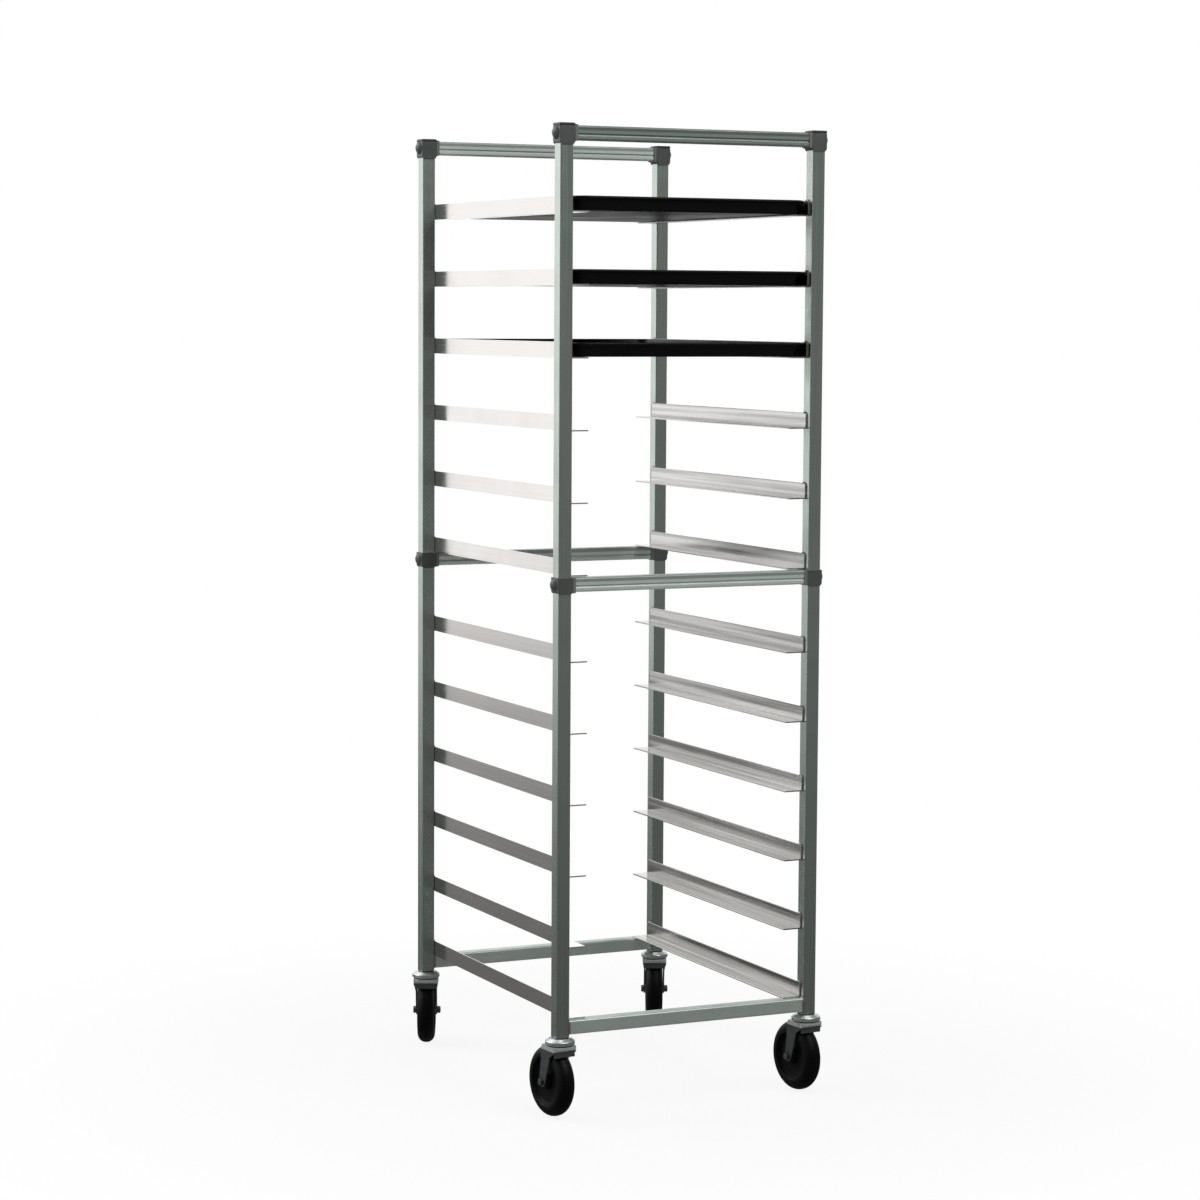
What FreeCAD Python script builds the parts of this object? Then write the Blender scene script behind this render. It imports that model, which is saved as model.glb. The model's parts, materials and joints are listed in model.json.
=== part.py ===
"""Sheet pan rack: an end-loading aluminium rack for twelve 18 by 26 inch sheet pans, on four swivel casters.

Millimetres. +Z is up, +X runs to the right along the front and the front faces -Y.
The origin is on the floor, under the middle of the four posts.
"""
import FreeCAD, Part
import os
from math import acos, cos, degrees, radians, sin

Vector = FreeCAD.Vector
UP = Vector(0, 0, 1)

# ---- frame: four square posts, twelve pairs of angle ledges, six cross bars
rack_width = 520.7
rack_depth = 660.4
tube_size = 25.4
tube_wall = 1.6
tube_corner = 2.5
level_count = 12
levels_above_middle = 6
level_pitch = 127.0
middle_step = 152.4
top_space = 152.4
ledge_above_post_end = 30.0
ledge_leg = 28.6
ledge_flange = 36.0
ledge_thickness = 2.4
ledge_set_back = 12.0
bar_size = 25.4
bar_wall = 3.0
bar_corner = 3.5
groove_width = 5.0
groove_depth = 1.8
groove_below_middle = 3.0
bar_below_ledge = 1.2

# ---- moulded connectors that join the upper bars to the posts
connector_wall = 2.0
connector_fit = 0.1
lid_thickness = 4.0
lid_chamfer = 1.2
lid_edge = 4.6
lid_groove = 1.0
bar_below_lid = 0.3
top_skirt = 8.2
middle_skirt = 4.2
skirt_radius = 7.0
shoulder_length = 6.0
shoulder_wall = 1.7
shoulder_chamfer = 1.2
spigot_length = 22.0
spigot_fit = 0.2
dome_radius = 12.0
dome_height = 7.5

# ---- swivel casters
wheel_diameter = 127.0
wheel_width = 33.0
tread_bevel = 10.0
sleeve_radius = 6.5
wheel_fit = 0.06
caster_trail = 28.0
front_heading = 6.0
back_heading = -24.5
side_clearance = 1.5
fork_plate = 2.5
fork_flare = 3.0
fork_end_radius = 9.5
fork_top_lead = 17.0
fork_top_trail = 24.0
fork_neck_lead = -2.0
fork_neck_trail = 31.0
fork_shoulder = 11.0
fork_neck_drop = 11.0
lip_clearance = 2.8
crown_thickness = 4.2
crown_lead = 24.0
crown_chamfer = 9.0
crown_clearance = 2.0
axle_radius = 4.0
thread_fit = 0.05
axle_hole_fit = 0.1
hex_radius = 7.0
axle_head_height = 5.3
nut_height = 6.2
axle_tip = 0.8
head_radius = 26.5
head_height = 11.3
head_slope_width = 7.0
head_slope_height = 4.5
head_gap = 1.8
stem_radius = 5.5
stem_fit = 0.06
rivet_radius = 8.5
rivet_height = 2.8
rivet_gap = 0.3
stem_length = 42.0
socket_flange = 1.5
socket_length = 47.0
socket_fit = 0.15

# ---- sheet pans
pan_levels = (1, 2, 3)
pan_side_clearance = 3.95
pan_depth = 25.4
pan_sheet = 1.2
pan_rim_width = 5.6
pan_rim_height = 5.4
pan_rim_chamfer = 1.6
pan_wall_slope = 8.0
pan_corner_radius = 30.0
pan_lift = 0.3

# ---- places that follow from the sizes above
wheel_radius = wheel_diameter / 2
crown_bottom = wheel_diameter + crown_clearance
crown_top = crown_bottom + crown_thickness
head_bottom = crown_top + head_gap
head_top = head_bottom + head_height
post_bottom = head_top + socket_flange
lowest_ledge = post_bottom + ledge_above_post_end
rack_height = (lowest_ledge + (level_count - 2) * level_pitch
               + middle_step + top_space)
post_top = rack_height - lid_thickness
post_x = (rack_width - tube_size) / 2
post_y = (rack_depth - tube_size) / 2
between_posts = rack_width - 2 * tube_size
collar_size = tube_size + 2 * (connector_fit + connector_wall)
fork_inner = wheel_width / 2 + side_clearance
fork_outer = fork_inner + fork_plate
pan_width = between_posts - 2 * (ledge_thickness + pan_side_clearance)


def ledge_height(level):
    """Underside of a level's ledges above the floor. Level 1 is the top one."""
    height = lowest_ledge + (level_count - level) * level_pitch
    if level <= levels_above_middle:
        height += middle_step - level_pitch
    return height


bottom_bar_axis = lowest_ledge - bar_size / 2
middle_bar_axis = ledge_height(levels_above_middle) - bar_below_ledge - bar_size / 2
top_bar_axis = post_top - bar_below_lid - bar_size / 2


# ---- shapes used by several parts
def box(x_range, y_range, z_range):
    """Block between two limits on each axis."""
    (x0, x1), (y0, y1), (z0, z1) = x_range, y_range, z_range
    return Part.makeBox(x1 - x0, y1 - y0, z1 - z0, Vector(x0, y0, z0))


def round_rectangle(width, depth, radius, height=0.0):
    """Level wire of a rectangle with round corners, centred on the Z axis."""
    x, y = width / 2 - radius, depth / 2 - radius
    centres = ((x, y), (-x, y), (-x, -y), (x, -y))
    arcs = []
    for quarter, (cx, cy) in enumerate(centres):
        circle = Part.Circle(Vector(cx, cy, height), UP, radius)
        start = radians(90 * quarter)
        arcs.append(Part.ArcOfCircle(circle, start, start + radians(90)).toShape())
    edges = []
    for arc, following in zip(arcs, arcs[1:] + arcs[:1]):
        edges += [arc, Part.makeLine(arc.Vertexes[-1].Point, following.Vertexes[0].Point)]
    return Part.Wire(edges)


def round_prism(width, depth, radius, low, high):
    """Upright block with round corners between two heights."""
    return Part.Face(round_rectangle(width, depth, radius, low)).extrude(UP * (high - low))


def turned(outline):
    """Solid turned about the Z axis from a closed outline of (radius, height) points."""
    points = [Vector(radius, 0, height) for radius, height in outline]
    return Part.Face(Part.makePolygon(points + points[:1])).revolve(Vector(), UP, 360)


def edges_where(shape, chosen):
    """The edges whose middle point passes the test."""
    return [edge for edge in shape.Edges if chosen(edge.CenterOfMass)]


def cylinder_x(radius, x0, x1, height=0.0):
    """Round bar or bore along X at a height above the local origin."""
    return Part.makeCylinder(radius, x1 - x0, Vector(x0, 0, height), Vector(1, 0, 0))


def placed(shape, x, y, height=0.0, turn=0.0):
    """Copy of a shape turned about Z and moved to its place."""
    copy = shape.copy()
    copy.rotate(Vector(), UP, turn)
    copy.translate(Vector(x, y, height))
    return copy


def each_corner():
    """Name and post axis of the four corners, with the turn that points inward along the bar."""
    for side, sign, turn in (("left", -1, 0), ("right", 1, 180)):
        yield f"front_{side}", sign * post_x, -post_y, turn
        yield f"back_{side}", sign * post_x, post_y, turn


# ---- frame
def post():
    """Square tube, open at both ends."""
    inside = tube_size - 2 * tube_wall
    tube = round_prism(tube_size, tube_size, tube_corner, post_bottom, post_top)
    return tube.cut(box((-inside / 2, inside / 2), (-inside / 2, inside / 2), (post_bottom, post_top)))


def left_ledge():
    """Extruded angle with its leg up against the posts' inner faces, a little short of them at both ends."""
    root = -between_posts / 2
    outline = [(0, 0), (ledge_flange, 0), (ledge_flange, ledge_thickness),
               (ledge_thickness, ledge_thickness), (ledge_thickness, ledge_leg), (0, ledge_leg)]
    front = ledge_set_back - rack_depth / 2
    points = [Vector(root + x, front, z) for x, z in outline]
    angle = Part.Face(Part.makePolygon(points + points[:1])).extrude(Vector(0, -2 * front, 0))
    tips = (Vector(root + ledge_flange, 0, ledge_thickness), Vector(root + ledge_thickness, 0, ledge_leg))
    return angle.makeChamfer(ledge_thickness / 3, edges_where(
        angle, lambda middle: min(middle.distanceToPoint(tip) for tip in tips) < 0.01))


def bar(length, grooved):
    """Square tube along X about its own axis. Upper bars carry a V groove down their front and back."""
    tube = round_prism(bar_size, bar_size, bar_corner, -length / 2, length / 2)
    inside = bar_size / 2 - bar_wall
    tube = tube.cut(box((-inside, inside), (-inside, inside), (-length / 2, length / 2)))
    if grooved:
        for face in (-1, 1):
            mouth = face * bar_size / 2
            corners = [(groove_below_middle - groove_width / 2, mouth),
                       (groove_below_middle, mouth - face * groove_depth),
                       (groove_below_middle + groove_width / 2, mouth)]
            points = [Vector(x, y, -length / 2) for x, y in corners]
            tube = tube.cut(Part.Face(Part.makePolygon(points + points[:1])).extrude(UP * length))
    tube.rotate(Vector(), Vector(0, 1, 0), 90)
    return tube


# ---- connectors, about the post's axis with the bar's axis at height 0 and the bar towards +X
def connector(skirt, above, lid):
    """Collar round the post, with a domed boss outside and a shoulder and spigot for the bar's end.

    skirt is how far it hangs below the bar and above how far it stands over it. The front and
    back plates end in round corners. A lid closes the top corners' tubes.
    """
    half = collar_size / 2
    low, high = -bar_size / 2 - skirt, bar_size / 2 + above
    body = box((-half, half), (-half, half), (low, high))
    body = body.makeFillet(skirt_radius, edges_where(
        body, lambda middle: abs(middle.z - low) < 0.01 and abs(middle.y) < 0.01))
    if lid:
        body = body.makeChamfer(lid_chamfer, edges_where(body, lambda middle: abs(middle.z - high) < 0.01))
        band = (high - lid_edge - lid_groove, high - lid_edge)
        neck = half - lid_groove
        body = body.cut(box((-half, half), (-half, half), band).cut(box((-neck, neck), (-neck, neck), band)))
    body = body.fuse(dome(half))
    shoulder_top = bar_size / 2 + (shoulder_wall if lid else 0)
    reach = half + shoulder_length
    side = bar_size / 2 + shoulder_wall
    shoulder = box((half - connector_wall, reach), (-side, side), (-side, shoulder_top))
    shoulder = shoulder.makeChamfer(shoulder_chamfer, edges_where(
        shoulder, lambda middle: abs(middle.x - reach) < 0.01))
    body = body.fuse(shoulder)
    cavity = tube_size / 2 + connector_fit
    ceiling = high - lid_thickness if lid else high
    body = body.cut(box((-cavity, cavity), (-cavity, cavity), (low, ceiling)))
    seat = bar_size / 2 + connector_fit
    body = body.cut(box((half, reach), (-seat, seat), (-seat, seat)))
    plug = bar_size / 2 - bar_wall - spigot_fit
    return body.fuse(box((half, half + spigot_length), (-plug, plug), (-plug, plug)))


def dome(half):
    """Domed boss on the collar's outer side, over the hidden fixing, on the bar's axis."""
    sphere_radius = (dome_radius ** 2 + dome_height ** 2) / (2 * dome_height)
    rim_angle = degrees(acos(dome_radius / sphere_radius))
    boss = Part.makeSphere(sphere_radius, UP * (dome_height - sphere_radius), UP, rim_angle, 90, 360)
    boss.rotate(Vector(), Vector(0, 1, 0), -90)
    boss.translate(Vector(-half, 0, 0))
    return boss


def connectors(shape, height):
    """The same connector on all four posts."""
    return [placed(shape, x, y, height, turn) for _, x, y, turn in each_corner()]


# ---- caster pieces, about the stem's axis with the floor at height 0 and the wheel trailing to +Y
def fork_leg():
    """Pressed leg on the +X side: bent inward below the crown, round and drilled at the axle."""
    shoulder = crown_top - fork_shoulder
    knee = shoulder - fork_shoulder * 1.6
    flared = fork_outer + fork_flare
    outline = [(flared, crown_top), (flared, shoulder), (fork_outer, knee), (fork_outer, 0),
               (fork_inner, 0), (fork_inner, knee), (flared - fork_plate, shoulder),
               (flared - fork_plate, crown_top)]
    width = caster_trail + fork_top_lead + fork_end_radius
    points = [Vector(x, -fork_top_lead, z) for x, z in outline]
    strip = Part.Face(Part.makePolygon(points + points[:1])).extrude(Vector(0, width, 0))
    hole = cylinder_x(axle_radius + axle_hole_fit, fork_inner, fork_outer, wheel_radius)
    hole.translate(Vector(0, caster_trail, 0))
    return strip.common(leg_side_view()).cut(hole)


def leg_side_view():
    """Block with the leg's side outline: broad shoulders, then a narrow leg with a round foot."""
    axle_centre = Vector(0, caster_trail, wheel_radius)
    shoulder = crown_top - fork_shoulder
    neck = shoulder - fork_neck_drop
    lead_neck, trail_neck = Vector(0, -fork_neck_lead, neck), Vector(0, fork_neck_trail, neck)
    lead_foot = touch_point(lead_neck, axle_centre, -1)
    trail_foot = touch_point(trail_neck, axle_centre, 1)
    corners = [trail_foot, trail_neck, Vector(0, fork_top_trail, crown_top),
               Vector(0, -fork_top_lead, crown_top), Vector(0, -fork_top_lead, shoulder),
               lead_neck, lead_foot]
    edges = [Part.makeLine(one, following) for one, following in zip(corners, corners[1:])]
    edges.append(Part.Arc(lead_foot, axle_centre - UP * fork_end_radius, trail_foot).toShape())
    return Part.Face(Part.Wire(edges)).extrude(Vector(2 * fork_outer, 0, 0))


def touch_point(start, centre, side):
    """Where a line from start touches the leg's round foot, on its leading (-1) or trailing (1) side."""
    run = start - centre
    cosine = fork_end_radius / run.Length
    sine = (1 - cosine ** 2) ** 0.5
    along = run * (1 / run.Length)
    across = Vector(0, along.z, -along.y) * side
    return centre + (along * cosine + across * sine) * fork_end_radius


def fork():
    """Crown plate with a hole for the stem, its two legs, and a lip in front bent down to the tread."""
    flared = fork_outer + fork_flare
    crown = box((-flared, flared), (-crown_lead, fork_top_trail), (crown_bottom, crown_top))
    crown = crown.makeChamfer(crown_chamfer, edges_where(
        crown, lambda middle: abs(abs(middle.x) - flared) < 0.01 and abs(middle.y + crown_lead) < 0.01))
    lip_back = fork_plate - fork_top_lead
    tread = wheel_radius + (wheel_radius ** 2 - (caster_trail - lip_back) ** 2) ** 0.5
    lip = box((fork_plate - flared, flared - fork_plate), (-fork_top_lead, lip_back),
              (tread + lip_clearance, crown_bottom))
    leg = fork_leg()
    shape = crown.fuse([leg, leg.mirror(Vector(), Vector(1, 0, 0)), lip]).removeSplitter()
    return shape.cut(Part.makeCylinder(stem_radius + stem_fit, crown_top))


def on_axle(shape):
    """Turn a shape made about the Z axis so that it lies about the wheel's axle."""
    shape.rotate(Vector(), Vector(0, 1, 0), 90)
    shape.translate(Vector(0, caster_trail, wheel_radius))
    return shape


def hexagon_prism(low, high):
    """Six-sided head or nut between two heights."""
    corners = [Vector(hex_radius * cos(radians(60 * i)), hex_radius * sin(radians(60 * i)), low)
               for i in range(7)]
    return Part.Face(Part.makePolygon(corners)).extrude(UP * (high - low))


def axle():
    """Hexagon-headed bolt through both legs, and the nut on its far end."""
    tip = fork_outer + nut_height + axle_tip
    bolt = Part.makeCylinder(axle_radius, tip + fork_outer, Vector(0, 0, -fork_outer))
    bolt = bolt.fuse(hexagon_prism(-fork_outer - axle_head_height, -fork_outer))
    nut = hexagon_prism(fork_outer, fork_outer + nut_height)
    nut = nut.cut(Part.makeCylinder(axle_radius + thread_fit, tip))
    return [on_axle(bolt), on_axle(nut)]


def wheel():
    """Moulded wheel in one piece, flat on both sides, with broad bevels that narrow its tread."""
    half = wheel_width / 2
    bore = sleeve_radius + wheel_fit
    side = [(bore, half), (wheel_radius - tread_bevel, half), (wheel_radius, half - tread_bevel)]
    return on_axle(turned(side + [(radius, -height) for radius, height in reversed(side)]))


def axle_sleeve():
    """Steel tube that the axle bolt clamps between the legs, so that the wheel turns freely on it."""
    bore = axle_radius + axle_hole_fit
    return on_axle(turned([(bore, -fork_inner), (sleeve_radius, -fork_inner),
                           (sleeve_radius, fork_inner), (bore, fork_inner)]))


def swivel_head():
    """Fixed upper half of the swivel: a pressed cup fast on the stem, closed over its ball race."""
    return turned([(stem_radius, head_bottom), (head_radius, head_bottom),
                   (head_radius, head_top - head_slope_height), (head_radius - head_slope_width, head_top),
                   (stem_radius, head_top)])


def caster_stem():
    """Stem from its riveted head under the crown, through the swivel, up into the post."""
    rivet_top = crown_bottom - rivet_gap
    tip = head_top + stem_length
    return turned([(0, rivet_top - rivet_height), (rivet_radius, rivet_top - rivet_height),
                   (rivet_radius, rivet_top), (stem_radius, rivet_top), (stem_radius, tip), (0, tip)])


def stem_socket():
    """Plastic plug in the post's foot that grips the stem, with a thin flange below the tube."""
    side = tube_size - 2 * (tube_wall + socket_fit)
    plug = box((-side / 2, side / 2), (-side / 2, side / 2), (post_bottom, head_top + socket_length))
    half = tube_size / 2 - tube_corner / 2
    flange = box((-half, half), (-half, half), (head_top, post_bottom))
    bore = Part.makeCylinder(stem_radius + stem_fit, socket_length, Vector(0, 0, head_top))
    return plug.fuse(flange).cut(bore)


# ---- sheet pans, about the pan's own middle with its underside at height 0
def sheet_pan():
    """Pressed pan with sloping walls, round corners and a solid rolled rim."""
    wall_top = pan_depth - pan_rim_height
    shells = []
    for inset, floor in ((0, 0), (pan_sheet, pan_sheet)):
        wires = []
        for spread, height in ((0, floor), (pan_wall_slope, pan_depth)):
            trim = 2 * (pan_rim_width + pan_wall_slope - spread + inset)
            radius = pan_corner_radius - trim / 2
            wires.append(round_rectangle(pan_width - trim, rack_depth - trim, radius, height))
        shells.append(Part.makeLoft(wires, True, True))
    pan = shells[0].cut(shells[1])
    rim = round_prism(pan_width, rack_depth, pan_corner_radius, wall_top, pan_depth)
    rim = rim.makeChamfer(pan_rim_chamfer, edges_where(
        rim, lambda middle: min(abs(middle.z - wall_top), abs(middle.z - pan_depth)) < 0.01))
    return pan.fuse(rim.cut(shells[0])).removeSplitter()


# ---- the assembly: every node's name and its solids
def frame_nodes():
    nodes = {}
    for corner, x, y, _ in each_corner():
        nodes[f"post_{corner}"] = [placed(post(), x, y)]
    ledge = left_ledge()
    for level in range(1, level_count + 1):
        nodes[f"ledge_left_{level:02d}"] = [placed(ledge, 0, 0, ledge_height(level))]
        nodes[f"ledge_right_{level:02d}"] = [placed(ledge, 0, 0, ledge_height(level), 180)]
    bolted = bar(between_posts - 2 * (connector_fit + connector_wall), True)
    welded = bar(between_posts, False)
    for name, shape, height in (("top", bolted, top_bar_axis), ("middle", bolted, middle_bar_axis),
                                ("bottom", welded, bottom_bar_axis)):
        nodes[f"{name}_bar_front"] = [placed(shape, 0, -post_y, height)]
        nodes[f"{name}_bar_back"] = [placed(shape, 0, post_y, height)]
    return nodes


def connector_nodes():
    top = connector(top_skirt, bar_below_lid + lid_thickness, True)
    middle = connector(middle_skirt, 0, False)
    return {"top_connectors": connectors(top, top_bar_axis),
            "middle_connectors": connectors(middle, middle_bar_axis)}


def caster_nodes():
    nodes = {"stem_sockets": [], "caster_stems": [], "swivel_heads": []}
    for corner, x, y, _ in each_corner():
        heading = front_heading if corner.startswith("front") else back_heading
        nodes["stem_sockets"].append(placed(stem_socket(), x, y))
        nodes["caster_stems"].append(placed(caster_stem(), x, y))
        nodes["swivel_heads"].append(placed(swivel_head(), x, y))
        nodes[f"fork_{corner}"] = [placed(fork(), x, y, turn=heading)]
        nodes[f"axle_{corner}"] = [placed(shape, x, y, turn=heading) for shape in axle()]
        nodes[f"sleeve_{corner}"] = [placed(axle_sleeve(), x, y, turn=heading)]
        nodes[f"wheel_{corner}"] = [placed(wheel(), x, y, turn=heading)]
    return nodes


def pan_nodes():
    pan = sheet_pan()
    return {f"pan_{level}": [placed(pan, 0, 0, ledge_height(level) + ledge_thickness + pan_lift)]
            for level in pan_levels}


os.makedirs("parts", exist_ok=True)
for group in (frame_nodes(), connector_nodes(), caster_nodes(), pan_nodes()):
    for node, solids in group.items():
        shape = solids[0] if len(solids) == 1 else Part.Compound(solids)
        shape.exportStep(f"parts/{node}.step")
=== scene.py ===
import json
from math import cos, pi, radians, sin

import bmesh
import bpy
from mathutils import Matrix, Vector

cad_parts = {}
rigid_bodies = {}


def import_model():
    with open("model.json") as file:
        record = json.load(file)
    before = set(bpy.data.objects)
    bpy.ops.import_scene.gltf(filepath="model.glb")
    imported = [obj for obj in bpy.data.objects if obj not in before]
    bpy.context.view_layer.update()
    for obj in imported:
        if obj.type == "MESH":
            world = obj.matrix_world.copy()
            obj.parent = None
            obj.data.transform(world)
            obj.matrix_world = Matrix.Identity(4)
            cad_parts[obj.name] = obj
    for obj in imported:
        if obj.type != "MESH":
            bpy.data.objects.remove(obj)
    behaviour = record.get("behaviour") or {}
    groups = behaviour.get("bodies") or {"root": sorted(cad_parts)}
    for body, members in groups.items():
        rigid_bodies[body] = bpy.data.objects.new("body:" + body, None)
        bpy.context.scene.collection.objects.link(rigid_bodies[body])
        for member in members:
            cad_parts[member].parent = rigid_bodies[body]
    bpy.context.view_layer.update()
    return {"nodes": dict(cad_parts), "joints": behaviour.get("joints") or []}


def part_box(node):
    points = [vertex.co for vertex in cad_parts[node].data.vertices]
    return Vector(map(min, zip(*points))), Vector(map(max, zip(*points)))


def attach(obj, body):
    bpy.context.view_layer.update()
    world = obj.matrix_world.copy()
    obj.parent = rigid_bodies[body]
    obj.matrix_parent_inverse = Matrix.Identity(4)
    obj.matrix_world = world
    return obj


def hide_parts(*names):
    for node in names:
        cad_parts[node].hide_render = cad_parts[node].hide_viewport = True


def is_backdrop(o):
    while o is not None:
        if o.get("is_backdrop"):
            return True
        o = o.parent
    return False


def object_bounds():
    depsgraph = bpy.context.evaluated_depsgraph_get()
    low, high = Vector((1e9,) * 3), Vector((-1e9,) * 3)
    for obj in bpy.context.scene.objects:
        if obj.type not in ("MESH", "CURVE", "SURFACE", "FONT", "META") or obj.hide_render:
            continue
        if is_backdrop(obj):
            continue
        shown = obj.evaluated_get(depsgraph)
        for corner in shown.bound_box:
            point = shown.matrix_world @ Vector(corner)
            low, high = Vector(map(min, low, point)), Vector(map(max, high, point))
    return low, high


for leftover in list(bpy.data.objects):
    bpy.data.objects.remove(leftover)
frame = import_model()

# ---- Studio -------------------------------------------------------------------
# The rack stands on a pale floor in front of a white backdrop. The camera looks at
# its front-left corner from a little above chest height, through a long lens.
yaw, pitch, roll = radians(25.02), radians(-5.12), radians(0.328)
ahead = Vector((sin(yaw) * cos(pitch), cos(yaw) * cos(pitch), sin(pitch)))
level_right = Vector((cos(yaw), -sin(yaw), 0))
level_up = level_right.cross(ahead)
camera_right = level_right * cos(roll) + level_up * sin(roll)
camera_up = level_up * cos(roll) - level_right * sin(roll)
tripod = (-2.5685, -5.4472, 1.4295)
camera = bpy.data.objects.new("camera", bpy.data.cameras.new("camera"))
camera.data.lens = 96.89
camera.data.sensor_width = 36
camera.data.clip_end = 200
camera.matrix_world = Matrix.Translation(tripod) @ Matrix(
    (camera_right, camera_up, -ahead)).transposed().to_4x4()
scene = bpy.context.scene
scene.collection.objects.link(camera)
scene.camera = camera
scene.view_settings.view_transform = "Standard"


def linear(code):
    """The linear colour of an sRGB hex value."""
    parts = [int(code[i:i + 2], 16) / 255 for i in (0, 2, 4)]
    return [p / 12.92 if p <= 0.04045 else ((p + 0.055) / 1.055) ** 2.4 for p in parts] + [1]


def add_node(tree, kind, inputs=(), **settings):
    """Adds a shader node with its settings, and a value or a link at each input named."""
    node = tree.nodes.new("ShaderNode" + kind)
    for name, value in settings.items():
        setattr(node, name, value)
    for name, value in dict(inputs).items():
        if isinstance(value, bpy.types.NodeSocket):
            tree.links.new(value, node.inputs[name])
        else:
            node.inputs[name].default_value = value
    return node


def new_material(name):
    """A material with an empty node tree, and that tree."""
    material = bpy.data.materials.new(name)
    material.use_nodes = True
    material.node_tree.nodes.clear()
    return material, material.node_tree


# The camera sees a plain white backdrop. The rack itself is lit by a studio that is
# brightest low down behind it, and dim overhead and on the camera's side, so that the
# posts' fronts stay dark.
world = bpy.data.worlds.new("studio")
world.use_nodes = True
scene.world = world
tree = world.node_tree
tree.nodes.clear()
towards_backdrop = (-0.3, 0.95, 0)
dimmest, brightest = 0.21, 1.2
direction = add_node(tree, "TexCoord").outputs["Generated"]
behind = add_node(tree, "VectorMath", {0: direction, 1: towards_backdrop}, operation="DOT_PRODUCT")
side = add_node(tree, "MapRange", {"Value": behind.outputs["Value"], "From Min": -0.3, "From Max": 0.5},
                interpolation_type="SMOOTHSTEP")
rise = add_node(tree, "SeparateXYZ", {0: direction}).outputs["Z"]
low = add_node(tree, "MapRange", {"Value": rise, "From Min": 0.25, "From Max": 0.75, "To Min": 1.0,
                                  "To Max": 0.3}, interpolation_type="SMOOTHSTEP")
lit = add_node(tree, "Math", {0: side.outputs[0], 1: low.outputs[0]}, operation="MULTIPLY")
dim = add_node(tree, "MapRange", {"Value": lit.outputs[0], "To Min": dimmest, "To Max": brightest})
rays = add_node(tree, "LightPath")
seen = add_node(tree, "Math", {0: rays.outputs["Is Camera Ray"], 1: rays.outputs["Is Transmission Ray"]},
                operation="MAXIMUM")
strength = add_node(tree, "Mix", {0: seen.outputs[0], 2: dim.outputs[0], 3: 1.0}, data_type="FLOAT")
sky = add_node(tree, "Background", {"Color": linear("FFFFFF"), "Strength": strength.outputs[0]})
add_node(tree, "OutputWorld", {"Surface": sky.outputs[0]})

# The floor is pale painted board. It whitens with distance, so that it has no horizon,
# and near the rack it keeps the shadow. Metal sees it dark near the rack and in front.
bm = bmesh.new()
bmesh.ops.create_grid(bm, x_segments=1, y_segments=1, size=60)
mesh = bpy.data.meshes.new("floor")
bm.to_mesh(mesh)
bm.free()
floor = bpy.data.objects.new("floor", mesh)
scene.collection.objects.link(floor)
floor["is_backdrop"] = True
board, tree = new_material("painted board")
place = add_node(tree, "TexCoord").outputs["Object"]
away = add_node(tree, "VectorMath", {0: place}, operation="LENGTH").outputs["Value"]
paint = add_node(tree, "BsdfDiffuse", {"Color": linear("E4E4E2")})
rays = add_node(tree, "LightPath")
whitened = add_node(tree, "MapRange", {"Value": away, "From Min": 0.5, "From Max": 1.6,
                                       "To Min": 0.88, "To Max": 1.0}, interpolation_type="SMOOTHSTEP")
span = add_node(tree, "MapRange", {"Value": away, "From Min": 1.0, "From Max": 13.0})
curve = add_node(tree, "Math", {0: span.outputs[0], 1: 1.3}, operation="POWER")
mirrored = add_node(tree, "MapRange", {"Value": curve.outputs[0], "To Min": 0.15, "To Max": 1.15})
ahead_of_rack = add_node(tree, "MapRange", {"Value": away, "From Min": 1.5, "From Max": 6.0,
                                            "To Min": 0.13, "To Max": 0.21})
depth = add_node(tree, "SeparateXYZ", {0: place}).outputs["Y"]
rear = add_node(tree, "MapRange", {"Value": depth, "From Min": -1.2, "From Max": 0.6},
                interpolation_type="SMOOTHSTEP")
for_camera = add_node(tree, "Math", {0: rays.outputs["Is Camera Ray"], 1: whitened.outputs["Result"]},
                      operation="MULTIPLY")
share = add_node(tree, "Math", {0: for_camera.outputs[0], 1: rays.outputs["Is Glossy Ray"]},
                 operation="MAXIMUM")
glossy = add_node(tree, "Mix", {0: rear.outputs[0], 2: ahead_of_rack.outputs[0], 3: mirrored.outputs[0]},
                  data_type="FLOAT")
level = add_node(tree, "Mix", {0: rays.outputs["Is Glossy Ray"], 2: 1.0, 3: glossy.outputs[0]},
                 data_type="FLOAT")
glow = add_node(tree, "Emission", {"Color": linear("FFFFFF"), "Strength": level.outputs[0]})
top = add_node(tree, "MixShader", {0: share.outputs[0], 1: paint.outputs[0], 2: glow.outputs[0]})
add_node(tree, "OutputMaterial", {"Surface": top.outputs[0]})
mesh.materials.append(board)

# Two large softboxes hang over the rack: one behind its left side, and one in front of
# its right side that gives the casters and the moulded corners their highlights.
aim, softbox_size = Vector((0, 0, 0.9)), 3
for name, at, watts in (("softbox_left", (-2.8, 2.2, 3.6), 100), ("softbox_front", (0.9, -2.6, 4.3), 110)):
    lamp = bpy.data.lights.new(name, "AREA")
    lamp.shape = "SQUARE"
    lamp.size = softbox_size
    lamp.energy = watts
    softbox = bpy.data.objects.new(name, lamp)
    softbox.matrix_world = Matrix.Translation(at) @ (
        Vector(at) - aim).to_track_quat("Z", "Y").to_matrix().to_4x4()
    scene.collection.objects.link(softbox)


# ---- Posts --------------------------------------------------------------------
# Four square tubes of extruded aluminium, cut to length and left in mill finish: a soft
# sheen drawn along the tube by the die, a faint green cast, and cloudy patches.
def dress(material, *names):
    """Gives this material to the CAD nodes whose names begin with one of these."""
    for name, node in frame["nodes"].items():
        if name.startswith(names):
            node.material_slots[0].material = material


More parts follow.
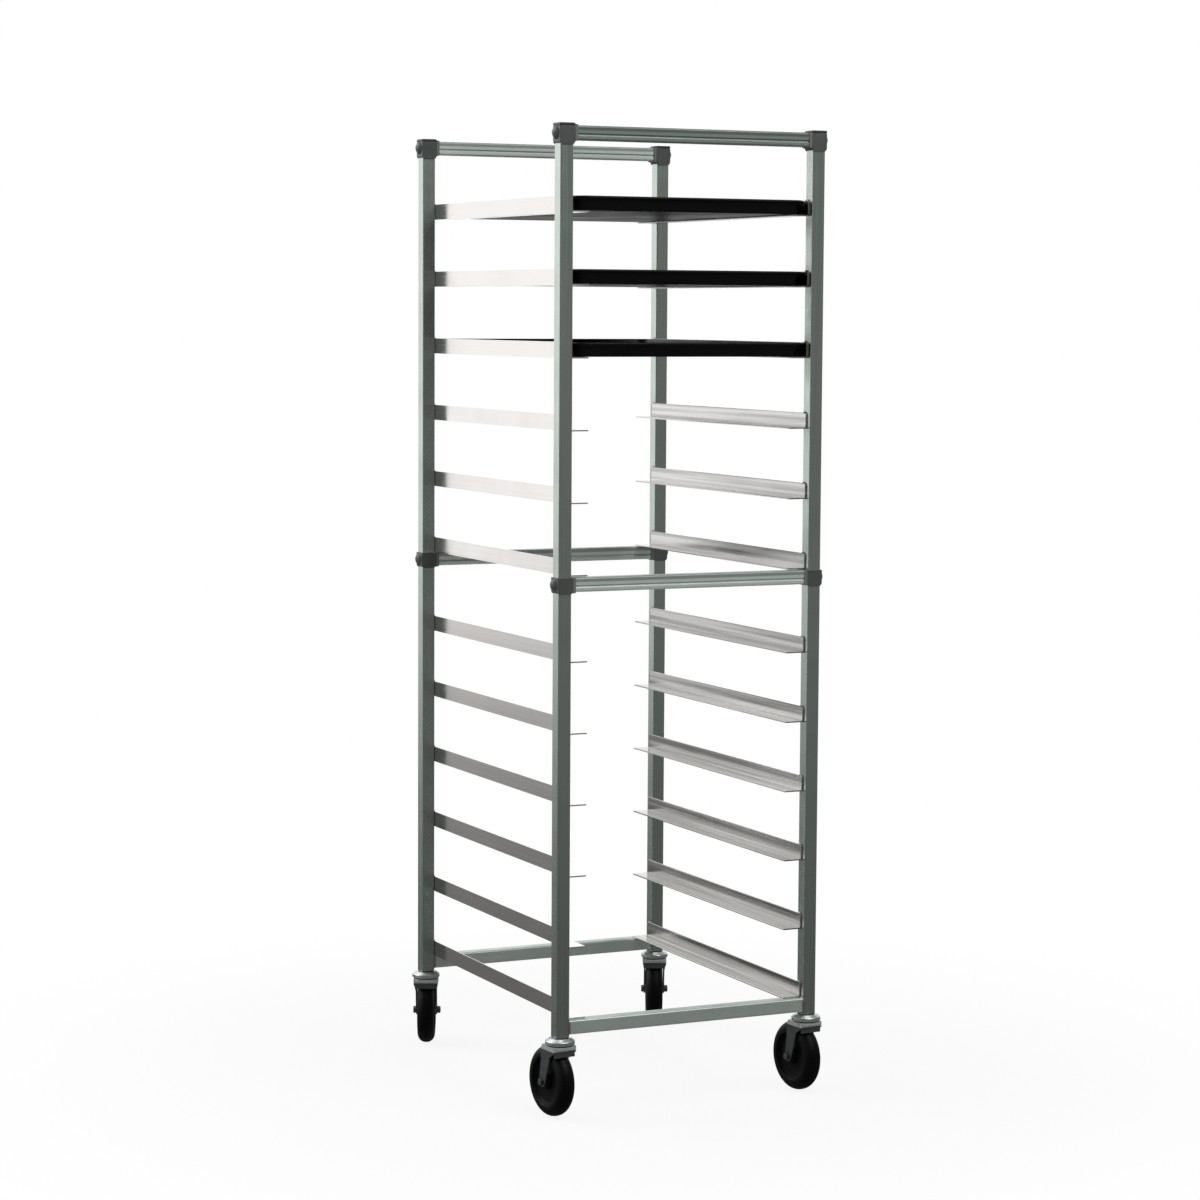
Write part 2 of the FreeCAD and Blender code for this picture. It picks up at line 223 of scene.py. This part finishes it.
def drawn_metal(name, grain, dull, bright, rough_from, rough_to, patch_size=0.06, lined=False):
    """Extruded aluminium. Die lines, stretched by grain along one axis, streak its gloss and
    catch the light. They are drawn two to eight millimetres wide, coarser than real ones, so
    that they show. Cloudy patches vary its colour and dull it; on lined metal the die lines
    vary the colour instead."""
    metal, tree = new_material(name)
    place = add_node(tree, "TexCoord").outputs["Object"]
    along = add_node(tree, "Mapping", {"Vector": place, "Scale": grain})
    die_lines = add_node(tree, "TexNoise", {"Vector": along.outputs[0], "Scale": 1, "Detail": 3})
    patches = add_node(tree, "TexNoise", {"Vector": place, "Scale": 1 / patch_size, "Detail": 6,
                                          "Roughness": 0.6})
    tone = patches
    if lined:
        tone = add_node(tree, "MapRange", {"Value": die_lines.outputs[0], "From Min": 0.38,
                                           "From Max": 0.62})
    colour = add_node(tree, "Mix", {0: tone.outputs[0], 6: linear(dull), 7: linear(bright)},
                      data_type="RGBA")
    streaks = add_node(tree, "MapRange", {"Value": die_lines.outputs[0], "From Min": 0.3, "From Max": 0.7,
                                          "To Min": rough_from, "To Max": rough_to})
    clouds = add_node(tree, "MapRange", {"Value": patches.outputs[0], "From Min": 0.35, "From Max": 0.65,
                                         "To Min": 0.06, "To Max": -0.02})
    rough = add_node(tree, "Math", {0: streaks.outputs[0], 1: clouds.outputs[0]}, operation="ADD")
    relief = add_node(tree, "Bump", {"Height": die_lines.outputs[0], "Strength": 0.12, "Distance": 0.0004})
    shader = add_node(tree, "BsdfPrincipled", {"Base Color": colour.outputs[2], "Metallic": 1,
                                               "Roughness": rough.outputs[0], "Normal": relief.outputs[0]})
    add_node(tree, "OutputMaterial", {"Surface": shader.outputs[0]})
    return metal, tree


tube_metal, tree = drawn_metal("extruded aluminium tube, mill finish", (450, 450, 3), "A5B1A9", "C1CCC5",
                               0.2, 0.32)
dress(tube_metal, "post_")

# ---- Ledges -------------------------------------------------------------------
# Twelve pairs of extruded aluminium angles, brighter and glossier than the tubes, with
# die lines along their length. The right ones are more lined, and their darker tone, matched, is painted
# shade.
ledge_metal, tree = drawn_metal("extruded aluminium angle, bright", (500, 2.5, 500), "DAD3D0", "E6E6E4",
                                0.1, 0.2, patch_size=0.15)
dress(ledge_metal, "ledge_left")
# The right ledges' darker colours are painted shade.
lined_metal, tree = drawn_metal("extruded aluminium angle, lined", (130, 1.5, 130), "A6A5A3", "D5D4D2",
                                0.12, 0.26, patch_size=0.15, lined=True)
dress(lined_metal, "ledge_right")


# Each ledge is welded to both its posts by two short beads: one up the end of its leg,
# and one along the leg's top edge. The filler metal is duller than the extrusions.
def lay_bead(bm, start, end, radius=0.0021, ripple=0.0024):
    """Adds a rippled weld bead, closed and tapered at both ends, between two points."""
    run = Vector(end) - Vector(start)
    steps = round(run.length / ripple)
    bead = bmesh.ops.create_circle(bm, cap_ends=True, segments=7, radius=radius * 0.5)["verts"]
    face = bead[0].link_faces[0]
    for step in range(1, steps + 1):
        grown = bmesh.ops.extrude_face_region(bm, geom=[face])["geom"]
        bmesh.ops.delete(bm, geom=[face], context="FACES_ONLY")
        face = next(part for part in grown if isinstance(part, bmesh.types.BMFace))
        bmesh.ops.translate(bm, verts=face.verts, vec=(0, 0, run.length / steps))
        width = 0.5 if step == steps else 1.0 + 0.12 * (-1) ** step
        now = max(vert.co.xy.length for vert in face.verts)
        bmesh.ops.scale(bm, verts=face.verts, vec=(radius * width / now, radius * width / now, 1))
        bead += face.verts[:]
    turn = Vector((0, 0, 1)).rotation_difference(run).to_matrix()
    bmesh.ops.rotate(bm, verts=bead, matrix=turn)
    bmesh.ops.translate(bm, verts=bead, vec=start)


def add_piece(name, bm, material, body):
    """Makes a piece of this bmesh, smooth except at its sharp edges, riding on a body."""
    bmesh.ops.recalc_face_normals(bm, faces=bm.faces)
    mesh = bpy.data.meshes.new(name)
    bm.to_mesh(mesh)
    bm.free()
    mesh.shade_smooth()
    mesh.set_sharp_from_angle(angle=radians(38))
    mesh.materials.append(material)
    piece = bpy.data.objects.new(name, mesh)
    scene.collection.objects.link(piece)
    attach(piece, body)
    return piece


filler, tree = new_material("aluminium weld filler")
place = add_node(tree, "TexCoord").outputs["Object"]
soot = add_node(tree, "TexNoise", {"Vector": place, "Scale": 160, "Detail": 4})
colour = add_node(tree, "Mix", {0: soot.outputs[0], 6: linear("6F6C68"), 7: linear("B9B6B0")},
                  data_type="RGBA")
shader = add_node(tree, "BsdfPrincipled", {"Base Color": colour.outputs[2],
                                           "Metallic": 1, "Roughness": 0.48})
add_node(tree, "OutputMaterial", {"Surface": shader.outputs[0]})

off_wall, off_end, off_top, bead_inset, bead_overlap = 0.0006, 0.0004, 0.0002, 0.001, 0.002
for side in ("left", "right"):
    bm = bmesh.new()
    inward = 1 if side == "left" else -1
    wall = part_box(f"post_front_{side}")[side == "left"].x
    for level in range(1, 13):
        ledge_low, ledge_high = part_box(f"ledge_{side}_{level:02d}")
        corner = wall + inward * off_wall
        for end, post in ((ledge_low.y, f"post_front_{side}"), (ledge_high.y, f"post_back_{side}")):
            outward = -1 if post.startswith("post_front") else 1
            post_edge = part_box(post)[post.startswith("post_front")].y
            lay_bead(bm, (corner, end + outward * off_end, ledge_low.z + 2 * bead_inset),
                     (corner, end + outward * off_end, ledge_high.z - bead_inset))
            lay_bead(bm, (corner, end - outward * bead_overlap, ledge_high.z + off_top),
                     (corner, post_edge + outward * bead_overlap, ledge_high.z + off_top))
    add_piece(f"ledge_welds_{side}", bm, filler, "frame")

# ---- Cross bars ---------------------------------------------------------------
# Six square bars of the same alloy, brushed along their length. The upper four are
# grooved front and back, and the two at the bottom are plain and welded to the posts.
def shade_in_bands(tree, heights):
    """Darkens a metal in soft bands of painted shade at these heights along a bar."""
    place = next(node for node in tree.nodes if node.type == "TEX_COORD").outputs["Object"]
    shader = next(node for node in tree.nodes if node.type == "BSDF_PRINCIPLED")
    unshaded = shader.inputs["Base Color"].links[0].from_socket
    height = add_node(tree, "SeparateXYZ", {0: place}).outputs["Z"]
    shade_mask = None
    for middle, reach, depth in heights:
        off = add_node(tree, "Math", {0: height, 1: middle}, operation="SUBTRACT")
        off = add_node(tree, "Math", {0: off.outputs[0]}, operation="ABSOLUTE")
        band = add_node(tree, "MapRange", {"Value": off.outputs[0], "From Min": reach * 0.6,
                                           "From Max": reach, "To Min": depth, "To Max": 0.0},
                        interpolation_type="SMOOTHSTEP")
        shade_mask = band if shade_mask is None else add_node(tree, "Math", {0: shade_mask.outputs[0], 1: band.outputs[0]},
                                                  operation="MAXIMUM")
    shaded_colour = add_node(tree, "Mix", {0: shade_mask.outputs[0], 6: unshaded, 7: linear("1E2422")}, data_type="RGBA")
    tree.links.new(shaded_colour.outputs[2], shader.inputs["Base Color"])


# Each bar's tone, and the film that hides some of its metal, are matched. The bars are one
# finish: their lighter and darker tones are painted light and shade. Dark bands of painted
# shade run in the groove, a little under the middle, and below the upper corner.
groove_below, groove_reach, groove_shade = 0.003, 0.0028, 0.3
brow_above, brow_reach, brow_shade = 0.0088, 0.005, 0.5
for bar_name, film, dull, bright in (
        ("top_bar_front", 0.3, "7F8983", "99A29D"), ("top_bar_back", 0.75, "B9C6BE", "D3DBD6"),
        ("middle_bar_front", 0.6, "B3C0B8", "CDD5D0"), ("middle_bar_back", 0.7, "B9C6BE", "D3DBD6"),
        ("bottom_bar_front", 0.35, "AFBCB4", "C9D1CC"), ("bottom_bar_back", 0.3, "B9C6BE", "D3DBD6")):
    bar_low, bar_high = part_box(bar_name)
    axis = (bar_low.z + bar_high.z) / 2
    bar_metal, tree = drawn_metal(f"extruded aluminium, brushed, {bar_name}", (3, 450, 450),
                                  dull, bright, 0.34, 0.48)
    shader = next(node for node in tree.nodes if node.type == "BSDF_PRINCIPLED")
    shader.inputs["Metallic"].default_value = 1 - film
    # The upper four bars get bands of painted shade.
    if not bar_name.startswith("bottom"):
        shade_in_bands(tree, ((axis - groove_below, groove_reach, groove_shade),
                      (axis + brow_above, brow_reach, brow_shade)))
    dress(bar_metal, bar_name)

corner_inset = 0.002
bm = bmesh.new()
for place_name in ("front", "back"):
    bar_low, bar_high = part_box(f"bottom_bar_{place_name}")
    for end in (bar_low.x, bar_high.x):
        for face in (bar_low.y, bar_high.y):
            lay_bead(bm, (end, face, bar_low.z + corner_inset), (end, face, bar_high.z - corner_inset))
        for edge in (bar_low.z, bar_high.z):
            lay_bead(bm, (end, bar_low.y + corner_inset, edge), (end, bar_high.y - corner_inset, edge))
add_piece("bottom_bar_welds", bm, filler, "frame")

# ---- Moulded corners ----------------------------------------------------------
# Glass-filled nylon connectors, moulded in dark grey, with edges rounded by the mould.
# Their spark-eroded grain is drawn a millimetre wide, coarser than life, so it shows.
def with_soft_edges(node_name, radius, material, body):
    """Stands for a CAD node with a merged copy whose sharp edges are rounded."""
    bm = bmesh.new()
    bm.from_mesh(frame["nodes"][node_name].data)
    bmesh.ops.remove_doubles(bm, verts=bm.verts, dist=0.000002)
    bmesh.ops.dissolve_limit(bm, angle_limit=radians(0.5), verts=bm.verts, edges=bm.edges)
    piece = add_piece(f"{node_name}_moulded", bm, material, body)
    if "custom_normal" in piece.data.attributes:
        piece.data.attributes.remove(piece.data.attributes["custom_normal"])
    rounding = piece.modifiers.new("rounded edges", "BEVEL")
    rounding.width = radius
    rounding.segments = 2
    rounding.limit_method = "ANGLE"
    rounding.angle_limit = radians(28)
    rounding.use_clamp_overlap = False
    rounding.harden_normals = True
    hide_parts(node_name)


nylon, tree = new_material("glass-filled nylon, moulded")
place = add_node(tree, "TexCoord").outputs["Object"]
grain = add_node(tree, "TexNoise", {"Vector": place, "Scale": 900, "Detail": 2})
clouds = add_node(tree, "TexNoise", {"Vector": place, "Scale": 40, "Detail": 4})
grey = add_node(tree, "Mix", {0: clouds.outputs[0], 6: linear("3C3F3F"), 7: linear("4E5150")},
                data_type="RGBA")
axes = add_node(tree, "SeparateXYZ", {0: place})
# The tones are matched: a nearly black lid, a pale groove under it that is a painted
# highlight, and lighter grey shoulders round the bars' ends.
lid_height, groove_height, collar_proud = 0.0046, 0.001, 0.0022
lid_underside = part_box("top_connectors")[1].z - lid_height
lid = add_node(tree, "Math", {0: axes.outputs["Z"], 1: lid_underside}, operation="GREATER_THAN")
groove = add_node(tree, "Math", {0: axes.outputs["Z"], 1: lid_underside - groove_height},
                  operation="GREATER_THAN")
across = add_node(tree, "Math", {0: axes.outputs["X"]}, operation="ABSOLUTE")
collar_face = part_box("post_front_right")[0].x - collar_proud
shoulder = add_node(tree, "Math", {0: across.outputs[0], 1: collar_face}, operation="LESS_THAN")
body_grey = add_node(tree, "Mix", {0: shoulder.outputs[0], 6: grey.outputs[2], 7: linear("6B6A69")},
                  data_type="RGBA")
# The pale line in the groove is a painted highlight.
groove_highlight = add_node(tree, "Mix", {0: groove.outputs[0], 6: body_grey.outputs[2], 7: linear("85837F")},
               data_type="RGBA")
colour = add_node(tree, "Mix", {0: lid.outputs[0], 6: groove_highlight.outputs[2], 7: linear("1E2121")}, data_type="RGBA")
rough = add_node(tree, "MapRange", {"Value": clouds.outputs[0], "To Min": 0.4, "To Max": 0.58})
relief = add_node(tree, "Bump", {"Height": grain.outputs[0], "Strength": 0.25, "Distance": 0.0003})
shader = add_node(tree, "BsdfPrincipled", {"Base Color": colour.outputs[2], "Roughness": rough.outputs[0],
                                           "IOR": 1.53, "Normal": relief.outputs[0]})
add_node(tree, "OutputMaterial", {"Surface": shader.outputs[0]})
for node_name in ("top_connectors", "middle_connectors"):
    with_soft_edges(node_name, 0.0006, nylon, "frame")

# ---- Caster sockets -----------------------------------------------------------
# Black polypropylene sleeves, moulded and pressed into the foot of each post, where
# they grip the stems.
polypropylene, tree = new_material("polypropylene, moulded black")
place = add_node(tree, "TexCoord").outputs["Object"]
clouds = add_node(tree, "TexNoise", {"Vector": place, "Scale": 90, "Detail": 3})
rough = add_node(tree, "MapRange", {"Value": clouds.outputs[0], "To Min": 0.35, "To Max": 0.55})
colour = add_node(tree, "Mix", {0: clouds.outputs[0], 6: linear("141414"), 7: linear("1F1F20")},
                  data_type="RGBA")
shader = add_node(tree, "BsdfPrincipled", {"Base Color": colour.outputs[2], "Roughness": rough.outputs[0],
                                           "IOR": 1.49})
add_node(tree, "OutputMaterial", {"Surface": shader.outputs[0]})
dress(polypropylene, "stem_sockets")

# ---- Caster stems and swivel heads ----------------------------------------------
# Turned and pressed steel with bright zinc plate: cool and glossy, dulled in soft
# patches by its cloudy passivation.
zinc, tree = new_material("steel, bright zinc plate")
place = add_node(tree, "TexCoord").outputs["Object"]
clouds = add_node(tree, "TexNoise", {"Vector": place, "Scale": 70, "Detail": 4})
colour = add_node(tree, "Mix", {0: clouds.outputs[0], 6: linear("C4C8CA"), 7: linear("E2E4E4")},
                  data_type="RGBA")
rough = add_node(tree, "MapRange", {"Value": clouds.outputs[0], "From Min": 0.3, "From Max": 0.7,
                                    "To Min": 0.26, "To Max": 0.44})
shader = add_node(tree, "BsdfPrincipled", {"Base Color": colour.outputs[2], "Metallic": 1,
                                           "Roughness": rough.outputs[0]})
add_node(tree, "OutputMaterial", {"Surface": shader.outputs[0]})
dress(zinc, "caster_stems", "sleeve_")
with_soft_edges("swivel_heads", 0.0011, zinc, "frame")

# A greased felt ring closes the ball race between each head and its fork. Its fibres
# are drawn coarser than real ones, so that they show.
felt, tree = new_material("felt, greased")
place = add_node(tree, "TexCoord").outputs["Object"]
fibres = add_node(tree, "TexNoise", {"Vector": place, "Scale": 1500, "Detail": 2})
colour = add_node(tree, "Mix", {0: fibres.outputs[0], 6: linear("0C0B0A"), 7: linear("1C1A17")},
                  data_type="RGBA")
shader = add_node(tree, "BsdfPrincipled", {"Base Color": colour.outputs[2], "Roughness": 0.62})
add_node(tree, "OutputMaterial", {"Surface": shader.outputs[0]})
corners = [name[5:] for name in frame["nodes"] if name.startswith("post_")]
race_radius, ring_width, race_clearance = 0.0225, 0.004, 0.0003
head_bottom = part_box("swivel_heads")[0].z
for corner in corners:
    post_low, post_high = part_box(f"post_{corner}")
    crown_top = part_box(f"fork_{corner}")[1].z
    bm = bmesh.new()
    ring = [bm.verts.new((radius, 0, height)) for radius, height in (
        (race_radius - ring_width, head_bottom), (race_radius, head_bottom),
        (race_radius, crown_top + race_clearance), (race_radius - ring_width, crown_top + race_clearance))]
    edges = [bm.edges.new((ring[i - 1], ring[i])) for i in range(4)]
    bmesh.ops.spin(bm, geom=ring + edges, cent=(0, 0, 0), axis=(0, 0, 1), angle=2 * pi, steps=48,
                   use_merge=True, use_duplicate=False)
    bmesh.ops.translate(bm, verts=bm.verts, vec=((post_low.x + post_high.x) / 2,
                                                 (post_low.y + post_high.y) / 2, 0))
    add_piece(f"race_ring_{corner}", bm, felt, "frame")

# ---- Forks --------------------------------------------------------------------
# Pressed steel forks under black stoved enamel that is greyed in soft patches. It keeps
# a soft gloss, and the peel of the enamel ripples it slightly.
enamel, tree = new_material("steel, black stoved enamel")
place = add_node(tree, "TexCoord").outputs["Object"]
peel = add_node(tree, "TexNoise", {"Vector": place, "Scale": 350, "Detail": 2})
clouds = add_node(tree, "TexNoise", {"Vector": place, "Scale": 60, "Detail": 4})
black = add_node(tree, "Mix", {0: clouds.outputs[0], 6: linear("262829"), 7: linear("4A4C4D")},
                 data_type="RGBA")
# The crown and the bends just below it are a paler grey.
pale_height = 0.0085
pale_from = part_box("fork_front_left")[1].z - pale_height
height = add_node(tree, "SeparateXYZ", {0: place}).outputs["Z"]
pale = add_node(tree, "Math", {0: height, 1: pale_from}, operation="GREATER_THAN")
colour = add_node(tree, "Mix", {0: pale.outputs[0], 6: black.outputs[2], 7: linear("9A9D9D")},
                  data_type="RGBA")
relief = add_node(tree, "Bump", {"Height": peel.outputs[0], "Strength": 0.15, "Distance": 0.0004})
shader = add_node(tree, "BsdfPrincipled", {"Base Color": colour.outputs[2], "Roughness": 0.3, "IOR": 1.5,
                                           "Normal": relief.outputs[0]})
add_node(tree, "OutputMaterial", {"Surface": shader.outputs[0]})
for corner in corners:
    with_soft_edges(f"fork_{corner}", 0.0005, enamel, f"caster_{corner}")

# ---- Axles --------------------------------------------------------------------
# Hexagon bolts and lock nuts in oxidised steel, mid grey and slightly patchy. Each nut
# ends in the collar of nylon that locks it on the thread.
oxide, tree = new_material("steel, black oxide")
place = add_node(tree, "TexCoord").outputs["Object"]
wear = add_node(tree, "TexNoise", {"Vector": place, "Scale": 220, "Detail": 4})
colour = add_node(tree, "Mix", {0: wear.outputs[0], 6: linear("5A5B5C"), 7: linear("808182")},
                  data_type="RGBA")
shader = add_node(tree, "BsdfPrincipled", {"Base Color": colour.outputs[2], "Metallic": 1, "Roughness": 0.4})
add_node(tree, "OutputMaterial", {"Surface": shader.outputs[0]})
collar_nylon, tree = new_material("nylon, natural")
place = add_node(tree, "TexCoord").outputs["Object"]
clouds = add_node(tree, "TexNoise", {"Vector": place, "Scale": 400, "Detail": 3})
colour = add_node(tree, "Mix", {0: clouds.outputs[0], 6: linear("6E6B62"), 7: linear("8B887C")},
                  data_type="RGBA")
shader = add_node(tree, "BsdfPrincipled", {"Base Color": colour.outputs[2], "Roughness": 0.45, "IOR": 1.53})
add_node(tree, "OutputMaterial", {"Surface": shader.outputs[0]})


def turned_about_axle(outline, corner, steps):
    """A ring turned from an outline of (radius, place along the axle), set on this caster's axle."""
    roll = next(joint for joint in frame["joints"] if joint["name"] == f"roll_{corner}")
    axis = Vector(roll["axis"])
    bm = bmesh.new()
    ring = [bm.verts.new((along, 0, radius)) for radius, along in outline]
    edges = [bm.edges.new((ring[i - 1], ring[i])) for i in range(len(ring))]
    bmesh.ops.spin(bm, geom=ring + edges, cent=(0, 0, 0), axis=(1, 0, 0), angle=2 * pi, steps=steps,
                   use_merge=True, use_duplicate=False)
    turn = Vector((1, 0, 0)).rotation_difference(axis).to_matrix()
    return bm, Matrix.Translation(roll["pos_m"]) @ turn.to_4x4()


nut_face, collar_height, thread_radius, collar_radius = 0.0267, 0.0007, 0.00405, 0.0058
for corner in corners:
    with_soft_edges(f"axle_{corner}", 0.0003, oxide, f"caster_{corner}")
    bm, home = turned_about_axle(((thread_radius, nut_face), (collar_radius, nut_face),
                                  (collar_radius - collar_height, nut_face + collar_height),
                                  (thread_radius, nut_face + collar_height)), corner, 32)
    bmesh.ops.transform(bm, matrix=home, verts=bm.verts)
    add_piece(f"nut_collar_{corner}", bm, collar_nylon, f"caster_{corner}")

# ---- Wheels -------------------------------------------------------------------
# One-piece black polyolefin wheels, moulded with a round tread, a recessed web and a
# plain hub. They are satin all over, in soft patches, and lightly scuffed.
polyolefin, tree = new_material("polyolefin, moulded black")
place = add_node(tree, "TexCoord").outputs["Object"]
clouds = add_node(tree, "TexNoise", {"Vector": place, "Scale": 45, "Detail": 5})
scuff = add_node(tree, "TexNoise", {"Vector": place, "Scale": 260, "Detail": 3})
colour = add_node(tree, "Mix", {0: clouds.outputs[0], 6: linear("020202"), 7: linear("060606")},
                  data_type="RGBA")
rough = add_node(tree, "MapRange", {"Value": clouds.outputs[0], "From Min": 0.3, "From Max": 0.7,
                                    "To Min": 0.42, "To Max": 0.6})
relief = add_node(tree, "Bump", {"Height": scuff.outputs[0], "Strength": 0.1, "Distance": 0.0004})
shader = add_node(tree, "BsdfPrincipled", {"Base Color": colour.outputs[2], "Roughness": rough.outputs[0],
                                           "IOR": 1.4, "Specular IOR Level": 0.2,
                                           "Normal": relief.outputs[0]})
add_node(tree, "OutputMaterial", {"Surface": shader.outputs[0]})

wheel_radius, half_width, bore_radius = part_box("wheel_front_left")[1].z / 2, 0.0165, 0.00656
hub_radius, web_radius, rim_radius, web_half, tread_round = 0.0135, 0.040, 0.0435, 0.0085, 0.0156
side_outline = [(bore_radius, half_width), (hub_radius, half_width), (hub_radius + 0.0012, web_half),
                (web_radius, web_half), (rim_radius, half_width), (wheel_radius, half_width)]
wheel_outline = side_outline + [(radius, -along) for radius, along in reversed(side_outline)]
for corner in corners:
    bm, home = turned_about_axle(wheel_outline, corner, 96)
    tread_edges = [edge for edge in bm.edges
                   if all(Vector((0, v.co.y, v.co.z)).length > wheel_radius - 0.0001 for v in edge.verts)
                   and abs(edge.verts[0].co.x - edge.verts[1].co.x) < 0.0001]
    bmesh.ops.bevel(bm, geom=tread_edges, offset=tread_round, offset_type="OFFSET", affect="EDGES",
                    segments=9, profile=0.5, material=-1)
    moulded_edges = [edge for edge in bm.edges if edge.calc_face_angle(0) > radians(40)]
    bmesh.ops.bevel(bm, geom=moulded_edges, offset=0.0006, offset_type="OFFSET", affect="EDGES",
                    segments=2, profile=0.5, material=-1)
    bmesh.ops.transform(bm, matrix=home, verts=bm.verts)
    wheel = add_piece(f"moulded_wheel_{corner}", bm, polyolefin, f"wheel_{corner}")
    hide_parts(f"wheel_{corner}")

# ---- Sheet pans ---------------------------------------------------------------
# Three pressed steel sheet pans with a black non-stick coating, baked on over a primer:
# deep black with a cool cast and a satin sheen. Its grain is drawn coarse, so it shows.
coating, tree = new_material("steel, black non-stick coating")
place = add_node(tree, "TexCoord").outputs["Object"]
grain = add_node(tree, "TexNoise", {"Vector": place, "Scale": 700, "Detail": 2})
stains = add_node(tree, "TexNoise", {"Vector": place, "Scale": 9, "Detail": 5})
colour = add_node(tree, "Mix", {0: stains.outputs[0], 6: linear("030205"), 7: linear("08060B")},
                  data_type="RGBA")
rough = add_node(tree, "MapRange", {"Value": stains.outputs[0], "From Min": 0.3, "From Max": 0.7,
                                    "To Min": 0.36, "To Max": 0.5})
relief = add_node(tree, "Bump", {"Height": grain.outputs[0], "Strength": 0.12, "Distance": 0.0003})
shader = add_node(tree, "BsdfPrincipled", {"Base Color": colour.outputs[2], "Roughness": rough.outputs[0],
                                           "IOR": 1.38, "Specular IOR Level": 0.35,
                                           "Normal": relief.outputs[0]})
add_node(tree, "OutputMaterial", {"Surface": shader.outputs[0]})
for pan_name in ("pan_1", "pan_2", "pan_3"):
    with_soft_edges(pan_name, 0.0005, coating, pan_name)

# ---- Size ---------------------------------------------------------------------
# The box of the finished rack, leaving out the floor.
low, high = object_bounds()
